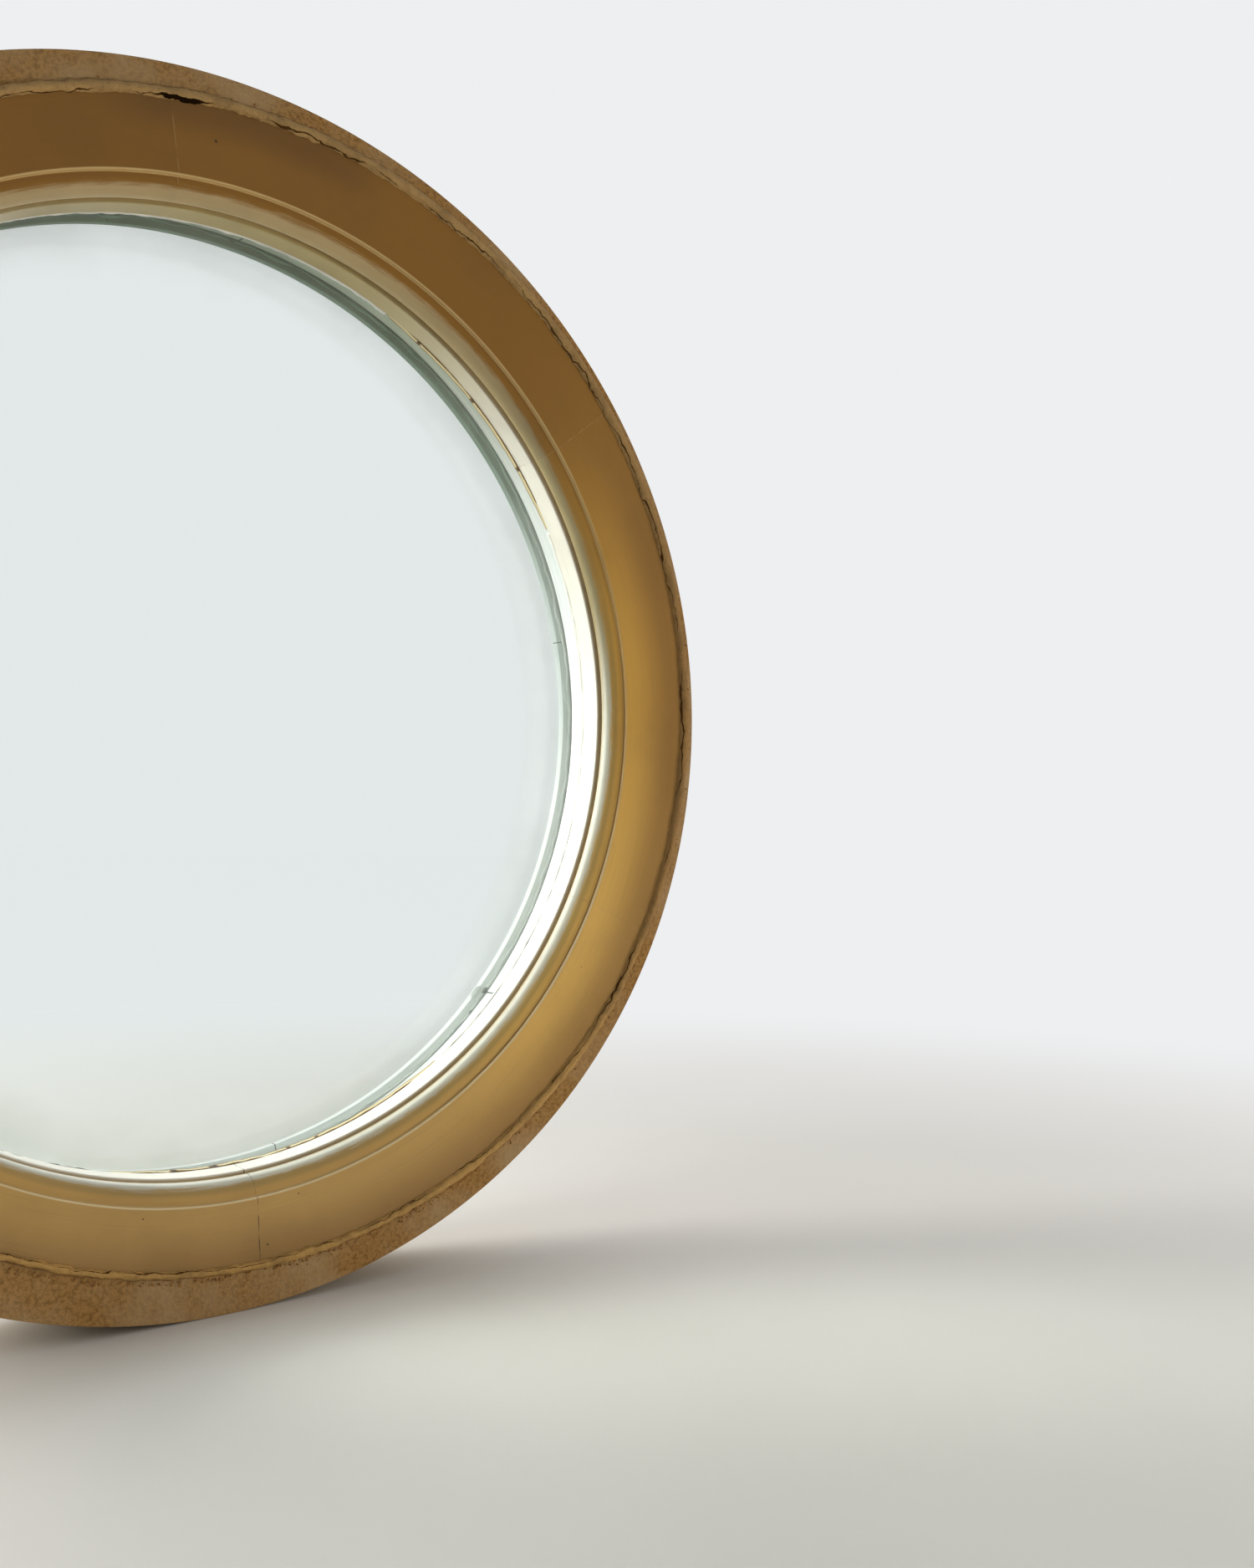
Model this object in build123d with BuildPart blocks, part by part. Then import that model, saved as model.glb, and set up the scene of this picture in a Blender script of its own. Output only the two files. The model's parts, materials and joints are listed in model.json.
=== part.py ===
from build123d import *
from math import cos, hypot, pi, radians, sin
import os

os.makedirs("parts", exist_ok=True)

# A fixed round window: a ring of moulded timber segments round a sealed double-glazed unit.
# All sizes are in millimetres and degrees. The ring's axis is Y: the room is at -Y and the
# outdoors at +Y. Angles are counted from +X (three o'clock) towards +Z (twelve o'clock).

# Moulding round the sight opening, seen from the room
sight_radius = 236.0
band_taper = 0.7
ovolo_setback = 1.4
ovolo_radius = 9.6
step_height = 2.0
quirk_width = 2.4
quirk_depth = 3.0
stop_depth = 26.2
step_arris = 0.6

# Timber ring and the loose tongues in its butt joints
frame_wall = 43.0
joint_angles = [-86.5, -26.0, 38.2, 98.0, 156.0, 215.0]
tongue_width = 30.0
tongue_thickness = 6.0
tongue_length = 44.0
tongue_clearance = 0.1
tongue_end_clearance = 1.0

# Sealed glazing unit: two panes on a hollow spacer bar
edge_cover = 17.0
edge_clearance = 4.0
glass_thickness = 4.0
cavity_width = 16.0
spacer_cover = 5.8
spacer_height = 6.5
spacer_wall = 0.7
spacer_shoulder = 2.5
spacer_joint_angles = [-41.7, 85.7]
spacer_joint_gap = 0.4
key_length = 40.0
key_clearance = 0.15
desiccant_clearance = 0.3
butyl_thickness = 0.3
butyl_height = 3.5
seal_clearance = 0.1

# Bedding and sealing of the unit in its rebate
tape_thickness = 2.0
tape_width = 8.0
room_sealant_width = 4.0
room_sealant_hollow = 0.6
room_sealant_stretches = [(-55.0, 15.0), (65.0, 265.0)]
weather_sealant_width = 3.0
block_angles = [-125.0, -55.0, 55.0, 125.0]
block_length = 60.0
block_clearance = 0.25

# Outdoor glazing beads and their pins
bead_depth = 15.8
bead_setback = 2.6
bead_nose = 4.5
bead_nose_arris = 1.0
bead_top = 6.0
bead_clearance = 0.2
bead_count = 4
bead_start_angle = 12.0
pins_per_bead = 3
pin_height = 9.0
pin_width = 1.6
pin_length = 25.0
pin_recess = 1.5
pin_clearance = 0.1

# Painted filler on the face where the plaster ended, a little off the ring's centre
filler_width = 5.5
filler_height = 2.5
filler_edge_slope = 0.9
filler_rim_margin = 3.5
filler_offset_x = 9.3
filler_offset_z = 3.4
filler_points = 72
filler_waves = [(5, 0.9, 20.0), (9, 0.6, 75.0), (16, 0.4, 140.0)]
filler_edge_lag = 55.0

# Sizes that follow from the ones above
unit_depth = 2 * glass_thickness + cavity_width
frame_depth = stop_depth + 2 * tape_thickness + unit_depth + bead_depth
line_radius = sight_radius + ovolo_setback + ovolo_radius
quirk_radius = sight_radius + ovolo_setback + quirk_depth
stop_tip_radius = sight_radius - band_taper
glass_radius = sight_radius + edge_cover
rebate_radius = glass_radius + edge_clearance
frame_radius = rebate_radius + frame_wall

room_face = -frame_depth / 2
outdoor_face = frame_depth / 2
step_floor = room_face + step_height
ovolo_end = step_floor + ovolo_radius
band_start = ovolo_end + quirk_width
stop_face = room_face + stop_depth
inner_pane_face = stop_face + tape_thickness
cavity_start = inner_pane_face + glass_thickness
cavity_end = cavity_start + cavity_width
outer_pane_face = cavity_end + glass_thickness
bead_seat = outer_pane_face + tape_thickness

ring_axis = Axis((0, 0, 0), (0, -1, 0))


def section_plane(angle):
    """The half plane through the ring's axis at an angle: x is the radius, y the depth."""
    turn = radians(angle)
    return Plane(origin=(0, 0, 0), x_dir=(cos(turn), 0, sin(turn)), z_dir=(-sin(turn), 0, cos(turn)))


def radial_plane(angle, radius, depth):
    """A plane that faces outwards along the radius at an angle, with x along the ring's axis."""
    turn = radians(angle)
    return Plane(
        origin=(radius * cos(turn), depth, radius * sin(turn)),
        x_dir=(0, 1, 0),
        z_dir=(cos(turn), 0, sin(turn)),
    )


def arc_degrees(length, radius):
    """The angle that a length along the ring takes at a radius."""
    return length / radius * 180 / pi


def ring(section, start=0.0, span=360.0):
    """A ring, or a stretch of one, with a section of straight lines."""
    with BuildPart() as turned:
        with BuildSketch(section_plane(start)):
            with BuildLine():
                Polyline(*section, close=True)
            make_face()
        revolve(axis=ring_axis, revolution_arc=span)
    return turned.part


def box_section(inner_radius, outer_radius, near, far):
    """The corners of a rectangular section between two radii and two depths."""
    return [(inner_radius, near), (outer_radius, near), (outer_radius, far), (inner_radius, far)]


def save(part, name):
    """Name a finished piece and write it."""
    part.label = name
    export_step(part, f"parts/{name}.step")


# Glazing pins: square cut brads driven outwards through the beads into the ring, and set
# below the surface of the bead's slope
bead_span = 360.0 / bead_count
pin_spacing = bead_span / pins_per_bead
pin_depth = bead_seat + pin_height
nose_radius = sight_radius + bead_setback
bead_top_radius = rebate_radius - bead_top
slope_share = (pin_height - bead_nose) / (bead_depth - bead_nose)
slope_radius = nose_radius + (bead_top_radius - nose_radius) * slope_share
pin_start_radius = slope_radius + pin_recess
pin_hole_width = pin_width + 2 * pin_clearance
pin_reach = arc_degrees(pin_hole_width / 2, slope_radius)
pin_angles = [
    bead_start_angle + (number + 0.5) * pin_spacing
    for number in range(bead_count * pins_per_bead)
]
outwards = (Align.CENTER, Align.CENTER, Align.MIN)


def pin_planes(start, end):
    """The planes of the pins that a stretch of the ring holds, each at the pin's inner end."""
    span = end - start + 2 * pin_reach
    return [
        radial_plane(angle, pin_start_radius, pin_depth)
        for angle in pin_angles
        if (angle - start + pin_reach) % 360 < span
    ]


with BuildPart() as bead_pins:
    with Locations(*pin_planes(0, 360)):
        Box(pin_width, pin_width, pin_length, align=outwards)
save(bead_pins.part, "bead_pins")

# Timber ring: segments cut from the plank and butted end to end on loose tongues. Each has
# the flat face, a small step, the quarter-round, the groove under it and the inner band,
# which ends in the stop that the glazing unit beds against.
segment_ends = joint_angles[1:] + [joint_angles[0] + 360]
tongue_radius = rebate_radius + frame_wall / 2
mortise_width = tongue_width + 2 * tongue_clearance
mortise_thickness = tongue_thickness + 2 * tongue_clearance
mortise_length = tongue_length / 2 + tongue_end_clearance

for number, (start, end) in enumerate(zip(joint_angles, segment_ends), 1):
    with BuildPart() as frame_segment:
        with BuildSketch(section_plane(start)):
            with BuildLine():
                outline = Polyline(
                    (line_radius, step_floor),
                    (line_radius, room_face),
                    (frame_radius, room_face),
                    (frame_radius, outdoor_face),
                    (rebate_radius, outdoor_face),
                    (rebate_radius, stop_face),
                    (stop_tip_radius, stop_face),
                    (sight_radius, band_start),
                    (quirk_radius, band_start),
                    (quirk_radius, ovolo_end),
                    (line_radius - ovolo_radius, ovolo_end),
                )
                RadiusArc(outline @ 1, outline @ 0, ovolo_radius)
            make_face()
            step = vertices().filter_by_position(Axis.X, line_radius, line_radius)
            chamfer(step.sort_by(Axis.Y)[0], step_arris)
        revolve(axis=ring_axis, revolution_arc=end - start)
        for joint, side in ((start, 1), (end, -1)):
            with BuildSketch(section_plane(joint)):
                with Locations((tongue_radius, 0)):
                    Rectangle(mortise_width, mortise_thickness)
            extrude(amount=side * mortise_length, mode=Mode.SUBTRACT)
        with Locations(*pin_planes(start, end)):
            Box(
                pin_hole_width,
                pin_hole_width,
                pin_length + pin_clearance,
                align=outwards,
                mode=Mode.SUBTRACT,
            )
    save(frame_segment.part, f"frame_segment_{number}")

with BuildPart() as joint_tongues:
    for joint in joint_angles:
        with BuildSketch(section_plane(joint)):
            with Locations((tongue_radius, 0)):
                Rectangle(tongue_width, tongue_thickness)
        extrude(amount=tongue_length / 2, both=True)
save(joint_tongues.part, "joint_tongues")

# Outdoor glazing beads: splayed strips, butted end to end, that hold the unit in its rebate
bead_back_radius = rebate_radius - bead_clearance
for number in range(bead_count):
    start = bead_start_angle + number * bead_span
    with BuildPart() as outer_bead:
        with BuildSketch(section_plane(start)):
            with BuildLine():
                Polyline(
                    (nose_radius, bead_seat),
                    (bead_back_radius, bead_seat),
                    (bead_back_radius, outdoor_face),
                    (bead_top_radius, outdoor_face),
                    (nose_radius, bead_seat + bead_nose),
                    close=True,
                )
            make_face()
            nose = vertices().filter_by_position(Axis.X, nose_radius, nose_radius)
            chamfer(nose.sort_by(Axis.Y)[-1], bead_nose_arris)
        revolve(axis=ring_axis, revolution_arc=bead_span)
        with Locations(*pin_planes(start, start + bead_span)):
            Box(pin_hole_width, pin_hole_width, 2 * pin_length, mode=Mode.SUBTRACT)
    save(outer_bead.part, f"outer_bead_{number + 1}")

# Panes: discs of float glass
for name, near in (("inner_pane", inner_pane_face), ("outer_pane", cavity_end)):
    with BuildPart() as pane:
        with BuildSketch(Plane.XZ.offset(-near)):
            Circle(glass_radius)
        extrude(amount=-glass_thickness)
    save(pane.part, name)

# Spacer bar: a hollow bar bent round in two lengths, joined by keys pushed into
# its ends. It is bonded between the panes by two strips of butyl.
spacer_radius = sight_radius + spacer_cover
spacer_back_radius = spacer_radius + spacer_height
spacer_near = cavity_start + butyl_thickness
spacer_far = cavity_end - butyl_thickness
spacer_shoulder_radius = spacer_back_radius - spacer_shoulder
hollow_near = spacer_near + spacer_shoulder
hollow_far = spacer_far - spacer_shoulder
hollow_radius = spacer_radius + spacer_wall
hollow_back_radius = spacer_back_radius - spacer_wall

gap_degrees = arc_degrees(spacer_joint_gap, spacer_radius)
key_degrees = arc_degrees(key_length, spacer_radius)
bar_starts = [angle + gap_degrees / 2 for angle in spacer_joint_angles]
bar_spans = [
    spacer_joint_angles[1] - spacer_joint_angles[0] - gap_degrees,
    360 - spacer_joint_angles[1] + spacer_joint_angles[0] - gap_degrees,
]
outside = [
    (spacer_radius, spacer_near),
    (spacer_shoulder_radius, spacer_near),
    (spacer_back_radius, spacer_near + spacer_shoulder),
    (spacer_back_radius, spacer_far - spacer_shoulder),
    (spacer_shoulder_radius, spacer_far),
    (spacer_radius, spacer_far),
]
hollow = box_section(hollow_radius, hollow_back_radius, hollow_near, hollow_far)
for name, start, span in zip(("spacer_bar_short", "spacer_bar_long"), bar_starts, bar_spans):
    with BuildPart() as spacer_bar:
        add(ring(outside, start, span))
        add(ring(hollow, start, span), mode=Mode.SUBTRACT)
    save(spacer_bar.part, name)

key_section = box_section(
    hollow_radius + key_clearance,
    hollow_back_radius - key_clearance,
    hollow_near + key_clearance,
    hollow_far - key_clearance,
)
with BuildPart() as spacer_keys:
    for angle in spacer_joint_angles:
        add(ring(key_section, angle - key_degrees / 2, key_degrees))
save(spacer_keys.part, "spacer_keys")

# Desiccant: the beads of drying agent that fill the hollow bar between the keys
desiccant_section = box_section(
    hollow_radius + desiccant_clearance,
    hollow_back_radius - desiccant_clearance,
    hollow_near + desiccant_clearance,
    hollow_far - desiccant_clearance,
)
stand_off = key_degrees / 2 + arc_degrees(desiccant_clearance, spacer_radius)
with BuildPart() as desiccant:
    for start, span in zip(bar_starts, bar_spans):
        add(ring(desiccant_section, start + stand_off, span - 2 * stand_off))
save(desiccant.part, "desiccant")

# Seals of the unit: butyl on both sides of the bar, and the edge seal behind it
butyl_radius = spacer_shoulder_radius - butyl_height
for name, near in (("inner_butyl_seal", cavity_start), ("outer_butyl_seal", spacer_far)):
    butyl = ring(box_section(butyl_radius, spacer_shoulder_radius, near, near + butyl_thickness))
    save(butyl, name)

edge_seal = ring(
    box_section(spacer_back_radius + seal_clearance, glass_radius, cavity_start, cavity_end)
)
save(edge_seal, "edge_seal")

# Blocks that centre the unit in the rebate: two carry it and two locate it
block_degrees = arc_degrees(block_length, rebate_radius)
with BuildPart() as glazing_blocks:
    for angle in block_angles:
        add(
            ring(
                box_section(
                    glass_radius + block_clearance,
                    rebate_radius - block_clearance,
                    inner_pane_face,
                    outer_pane_face,
                ),
                angle - block_degrees / 2,
                block_degrees,
            )
        )
save(glazing_blocks.part, "glazing_blocks")

# Glazing tapes that bed the panes, and the sealant that closes the joints in front of them
room_sealant_back = sight_radius + room_sealant_width
room_tape = ring(
    box_section(room_sealant_back, room_sealant_back + tape_width, stop_face, inner_pane_face)
)
save(room_tape, "room_tape")

weather_sealant_radius = sight_radius + spacer_cover
weather_sealant_back = weather_sealant_radius + weather_sealant_width
weather_tape = ring(
    box_section(
        weather_sealant_back,
        weather_sealant_back + tape_width,
        outer_pane_face,
        bead_seat,
    )
)
save(weather_tape, "weather_tape")

weather_sealant = ring(
    box_section(weather_sealant_radius, weather_sealant_back, outer_pane_face, bead_seat)
)
save(weather_sealant, "weather_sealant")

# The room-side sealant has torn out of the joint over two stretches
room_sealant_middle = (stop_face + inner_pane_face) / 2
with BuildPart() as room_sealant:
    for start, end in room_sealant_stretches:
        with BuildSketch(section_plane(start)):
            with BuildLine():
                Polyline(
                    (stop_tip_radius, stop_face),
                    (room_sealant_back, stop_face),
                    (room_sealant_back, inner_pane_face),
                    (stop_tip_radius, inner_pane_face),
                    (stop_tip_radius + room_sealant_hollow, room_sealant_middle),
                    close=True,
                )
            make_face()
        revolve(axis=ring_axis, revolution_arc=end - start)
save(room_sealant.part, "room_sealant")

# Painted filler: a thin uneven bead, wavy along both edges
filler_offset = hypot(filler_offset_x, filler_offset_z)
filler_radius = frame_radius - filler_rim_margin - filler_offset - filler_width / 2


def filler_edge(side, lag, inset):
    """Points along one edge of the filler, side -1 or 1, with its waves turned by a lag."""
    points = []
    for number in range(filler_points):
        angle = 360 * number / filler_points
        wave = sum(
            height * sin(radians(count * angle + phase + lag))
            for count, height, phase in filler_waves
        )
        radius = filler_radius + side * (filler_width / 2 - inset) + wave
        points.append((
            filler_offset_x + radius * cos(radians(angle)),
            filler_offset_z + radius * sin(radians(angle)),
        ))
    return points


with BuildPart() as perimeter_filler:
    for side, lag, mode in ((1, filler_edge_lag, Mode.ADD), (-1, 0, Mode.SUBTRACT)):
        for rise, inset in ((0, 0), (filler_height, filler_edge_slope)):
            with BuildSketch(Plane.XZ.offset(rise - room_face)):
                with BuildLine():
                    Spline(*filler_edge(side, lag, inset), periodic=True)
                make_face()
        loft(ruled=True, mode=mode)
save(perimeter_filler.part, "perimeter_filler")
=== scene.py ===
# %% [markdown]
# A fixed round window on a pale studio floor.
# The timber ring was sawn in six segments, moulded, jointed and painted many times. It holds
# a sealed double-glazed unit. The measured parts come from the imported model. This lesson turns
# finer skins for the parts that catch the eye, and gives every part its real finish.

# %% Load the measured parts
import json
import math
import random
from types import SimpleNamespace
import bmesh
import bpy
from mathutils import Euler, Matrix, Vector, noise


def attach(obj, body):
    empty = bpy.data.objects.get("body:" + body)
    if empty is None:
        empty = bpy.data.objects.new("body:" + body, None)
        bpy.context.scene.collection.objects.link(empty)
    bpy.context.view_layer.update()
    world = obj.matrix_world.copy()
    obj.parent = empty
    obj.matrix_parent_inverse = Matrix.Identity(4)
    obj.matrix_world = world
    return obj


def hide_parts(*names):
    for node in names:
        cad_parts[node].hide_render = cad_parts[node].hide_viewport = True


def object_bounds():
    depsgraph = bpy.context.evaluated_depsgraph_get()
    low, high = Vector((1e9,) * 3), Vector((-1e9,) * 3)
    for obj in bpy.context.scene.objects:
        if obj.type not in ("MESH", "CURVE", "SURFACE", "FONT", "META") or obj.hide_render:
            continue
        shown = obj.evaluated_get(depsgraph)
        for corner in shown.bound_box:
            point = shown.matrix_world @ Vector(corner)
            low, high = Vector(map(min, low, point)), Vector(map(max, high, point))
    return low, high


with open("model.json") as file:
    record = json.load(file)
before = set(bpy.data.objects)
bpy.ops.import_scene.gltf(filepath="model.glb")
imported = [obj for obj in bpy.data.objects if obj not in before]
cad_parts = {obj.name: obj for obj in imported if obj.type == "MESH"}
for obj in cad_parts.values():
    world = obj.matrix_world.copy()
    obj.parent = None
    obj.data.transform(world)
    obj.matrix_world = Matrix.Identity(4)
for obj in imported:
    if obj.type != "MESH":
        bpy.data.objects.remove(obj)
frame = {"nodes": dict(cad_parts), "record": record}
cad_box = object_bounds()
print("measured parts:", len(frame["nodes"]))

# %% [markdown]
# The ring's axis is Y: the room is at -Y and the outdoors at +Y. A place on the window is an
# angle round the ring, from +X towards +Z, a radius and a depth. All sizes are written in
# millimetres and turned to metres once, because Blender works in metres.

# %% Sizes of the ring
mm = 0.001
sight_radius = 236.0 * mm
line_radius = 247.0 * mm
frame_radius = 300.0 * mm
rebate_radius = 257.0 * mm
room_face = -35.0 * mm
outdoor_face = 35.0 * mm
joint_angles = [-86.5, -26.0, 38.2, 98.0, 156.0, 215.0]
print("ring across:", 2 * frame_radius, "m")


def ring_point(angle, radius, depth):
    """The point at an angle in degrees, a radius and a depth."""
    turn = math.radians(angle)
    return Vector((radius * math.cos(turn), depth, radius * math.sin(turn)))


# %% [markdown]
# Nearly every part here was run through a moulding machine or gunned along the ring, so it
# has one section that is swept round the axis. The lesson draws the section's few corners,
# rounds them with a vertex bevel, and spins the outline. A spin keeps the section exact all
# the way round, which a curve with a bevel profile doesn't.

# %% Sweep a section round the ring
def turn_section(corners, start, span, step_degrees):
    """Sweeps corners given as (radius, depth, rounding, steps) into a closed ring or stretch."""
    bm = bmesh.new()
    outline = [bm.verts.new(ring_point(start, radius, depth)) for radius, depth, *_ in corners]
    bm.faces.new(outline)
    for vert, (*_, rounding, steps) in zip(outline, corners):
        if rounding:
            bmesh.ops.bevel(
                bm, geom=[vert], offset=rounding, segments=steps, profile=0.5,
                affect="VERTICES", material=-1,
            )
    bmesh.ops.remove_doubles(bm, verts=bm.verts, dist=0.001 * mm)
    bmesh.ops.delete(bm, geom=bm.faces[:], context="FACES_ONLY")
    full = span >= 360
    bmesh.ops.spin(
        bm, geom=bm.verts[:] + bm.edges[:], cent=(0, 0, 0), axis=(0, -1, 0),
        angle=math.radians(span), steps=round(span / step_degrees), use_merge=full,
    )
    if not full:
        bmesh.ops.holes_fill(bm, edges=bm.edges[:], sides=0)
    bmesh.ops.recalc_face_normals(bm, faces=bm.faces[:])
    return bm


# %% [markdown]
# A finished piece stays at the origin with its place in its mesh, as the measured parts do.
# Each one hides the measured parts it replaces, and moves with the one body of a window that
# doesn't open.

# %% Turn a bmesh into a piece
def add_piece(name, bm, materials, slot, *replaced, even=False):
    """Makes a smooth-shaded object; even gives flat faces beside rounded arrises flat shading."""
    mesh = bpy.data.meshes.new(name)
    bm.to_mesh(mesh)
    bm.free()
    mesh.shade_smooth()
    for material in materials:
        mesh.materials.append(material)
    piece = bpy.data.objects.new(name, mesh)
    bpy.context.collection.objects.link(piece)
    if even:
        mesh.set_sharp_from_angle(angle=math.radians(50))
        weighted = piece.modifiers.new("even shading", "WEIGHTED_NORMAL")
        weighted.keep_sharp = True
    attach(piece, "root")
    if replaced:
        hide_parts(*replaced)
    print(name, "faces:", len(mesh.polygons))
    return piece


# %% [markdown]
# Materials are built from nodes. One small function adds a node with its settings, and gives
# each socket a value, a colour or a link, so that each finish below reads as a short recipe.
# Colours are written as sRGB hex, as a colour picker shows them, and one function turns them
# to the linear values that Cycles uses. Every solid finish ends alike: a Principled shader
# whose bumps come from a relief that is a real height in metres.

# %% Node, colour and surface helpers
def colour(code):
    """Turns an sRGB hex code into linear red, green, blue and alpha."""
    levels = [int(code[place:place + 2], 16) / 255 for place in (1, 3, 5)]
    linear = [v / 12.92 if v <= 0.04045 else ((v + 0.055) / 1.055) ** 2.4 for v in levels]
    return (*linear, 1.0)


def node(material, kind, inputs=None, **settings):
    """Adds a node: settings are its options, and inputs give sockets a value, hex code or link."""
    made = material.node_tree.nodes.new(kind)
    for option, value in settings.items():
        setattr(made, option, value)
    for socket, value in (inputs or {}).items():
        if isinstance(value, str):
            value = colour(value)
        if isinstance(value, bpy.types.Node):
            value = next(output for output in value.outputs if output.enabled)
        if isinstance(value, bpy.types.NodeSocket):
            material.node_tree.links.new(value, made.inputs[socket])
        else:
            made.inputs[socket].default_value = value
    return made


def new_material(name):
    """A material with an empty node tree."""
    material = bpy.data.materials.new(name)
    material.use_nodes = True
    material.node_tree.nodes.clear()
    return material


def surface(material, inputs, relief=None):
    """Ends a material with a Principled shader that a relief in metres raises."""
    if relief is not None:
        bump = node(material, "ShaderNodeBump", {"Strength": 1.0, "Distance": 1.0, "Height": relief})
        inputs = {**inputs, "Normal": bump}
    shader = node(material, "ShaderNodeBsdfPrincipled", inputs)
    node(material, "ShaderNodeOutputMaterial", {"Surface": shader})
    print(material.name, "nodes:", len(material.node_tree.nodes))


# %% [markdown]
# Brush strokes, dirt and wear follow the ring and not the X, Y and Z axes. So the materials
# read Object coordinates and turn them into the ring's own: how far out a point is, which way
# it lies from the centre, how high that is, from -1 at the foot to 1 at the top, and how deep.
# Strokes are noise that changes slowly with direction and fast across the section. Direction
# is a unit vector and not an angle, which avoids a seam where the angle jumps.

# %% Ring coordinates for materials
def ring_coordinates(material):
    """Sockets with the place, the radius, the direction as (x, z, 0), the height and the depth."""
    place = node(material, "ShaderNodeTexCoord").outputs["Object"]
    parts = node(material, "ShaderNodeSeparateXYZ", {"Vector": place}).outputs
    flat = node(material, "ShaderNodeCombineXYZ", {"X": parts["X"], "Y": parts["Z"]})
    radius = node(material, "ShaderNodeVectorMath", {0: flat}, operation="LENGTH")
    direction = node(material, "ShaderNodeVectorMath", {0: flat}, operation="NORMALIZE")
    height = node(material, "ShaderNodeSeparateXYZ", {"Vector": direction}).outputs["Y"]
    return SimpleNamespace(
        place=place, radius=radius, direction=direction, height=height, depth=parts["Y"],
    )


def strokes(material, length, width):
    """Noise drawn out along the ring, with strokes of about this length and width in metres."""
    ring = ring_coordinates(material)
    across = node(material, "ShaderNodeMath", {0: ring.radius, 1: ring.depth}, operation="SUBTRACT")
    across = node(material, "ShaderNodeMath", {0: across, 1: 1 / width}, operation="MULTIPLY")
    across = node(material, "ShaderNodeCombineXYZ", {"Z": across})
    stretch = line_radius / length
    place = node(material, "ShaderNodeVectorMath", {
        0: ring.direction, 1: (stretch, stretch, stretch), 2: across,
    }, operation="MULTIPLY_ADD")
    return node(material, "ShaderNodeTexNoise", {
        "Vector": place, "Scale": 1.0, "Detail": 3.0, "Roughness": 0.6,
    })


# %% [markdown]
# Age shows on this window in areas with soft edges: above some height, inside some radius, or
# where a noise is strong. A smooth step from 0 to 1 makes one such edge, and where an area has
# several edges, their steps are multiplied. A Mix node then fades one colour into another over
# the area. Its socket 0 is the share, and 6 and 7 are its two colours.

# %% Areas with soft edges
def zone(material, *edges, most=1.0):
    """The share of an area, up to most. Each edge is (value, its outside, its inside)."""
    share = most
    for value, outside, inside in edges:
        step = node(material, "ShaderNodeMapRange", {
            "Value": value, "From Min": outside, "From Max": inside,
        }, interpolation_type="SMOOTHSTEP")
        share = node(material, "ShaderNodeMath", {0: share, 1: step}, operation="MULTIPLY")
    return share


def fade(material, first, second, *edges, most=1.0):
    """Fades one colour into another over the area that has these edges."""
    share = zone(material, *edges, most=most)
    return node(material, "ShaderNodeMix", {0: share, 6: first, 7: second}, data_type="RGBA")


def spotted(material, ground, shade, spot, outer, inner):
    """Puts a round spot on a colour: solid within the inner radius, gone at the outer one."""
    place = node(material, "ShaderNodeTexCoord").outputs["Object"]
    away = node(material, "ShaderNodeVectorMath", {0: place, 1: spot}, operation="DISTANCE")
    return fade(material, ground, shade, (away, outer, inner))


# %% [markdown]
# The room side is brush-painted alkyd gloss, on softwood. Alkyd paint goes on cream and
# yellows with age. Its colour here also holds painted light and shade: it is painted brighter
# and more orange low on the ring, and darker and browner towards the top as shade. The band
# beside the glass is pale nearly all round, with painted shade at the top. The inner half of
# the quarter-round is bleached, and painted pale as a highlight, less far up the ring. The
# share of each shade comes from how high a point lies and from how far across the section it
# is, and the brush marks make its edges streaky.

# %% Alkyd gloss paint, yellowed, with painted light and shade
gloss_paint = new_material("alkyd gloss paint, yellowed")
ring = ring_coordinates(gloss_paint)
brush = strokes(gloss_paint, 60 * mm, 0.9 * mm)
swipes = strokes(gloss_paint, 12 * mm, 1.5 * mm)
high_up = zone(gloss_paint, (ring.height, 0.4, 0.9))
# How far across the section the painted highlight on the quarter-round reaches, less far up high.
highlight_reach = node(gloss_paint, "ShaderNodeMath", {0: ring.radius, 1: ring.depth}, operation="SUBTRACT")
for value, distance in ((brush, 6 * mm), (high_up, -4 * mm), (swipes, 7 * mm)):
    highlight_reach = node(gloss_paint, "ShaderNodeMath", {
        0: value, 1: distance, 2: highlight_reach,
    }, operation="MULTIPLY_ADD")
# Yellowed paint with painted light and shade: brighter and more orange low on the ring, darker and browner
# towards the top.
yellowed_and_shaded = fade(gloss_paint, "#c8a05a", "#e8ba60", (ring.height, -1.0, -0.6))
yellowed_and_shaded = fade(gloss_paint, yellowed_and_shaded, "#d6a548", (ring.height, -0.5, 0.1))
yellowed_and_shaded = fade(gloss_paint, yellowed_and_shaded, "#96681a", (ring.height, 0.1, 0.8))
# Painted highlight on the quarter-round, pale low on the ring where it is also bleached, with painted shade
# higher up.
quarter_round_highlight_and_shade = fade(gloss_paint, "#dedcce", "#a4966d", (ring.height, -0.1, 0.35))
quarter_round_highlight_and_shade = fade(gloss_paint, quarter_round_highlight_and_shade, "#bca475", (ring.height, 0.5, 1.0))
# The band is pale, with painted shade at the top.
band = fade(gloss_paint, "#f3efe3", "#b5a36c", (ring.height, 0.6, 1.0))
paint_colour = fade(gloss_paint, yellowed_and_shaded, quarter_round_highlight_and_shade, (highlight_reach, 278.3 * mm, 273.3 * mm))
paint_colour = fade(gloss_paint, paint_colour, band, (ring.depth, -22.5 * mm, -21.5 * mm))
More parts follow.
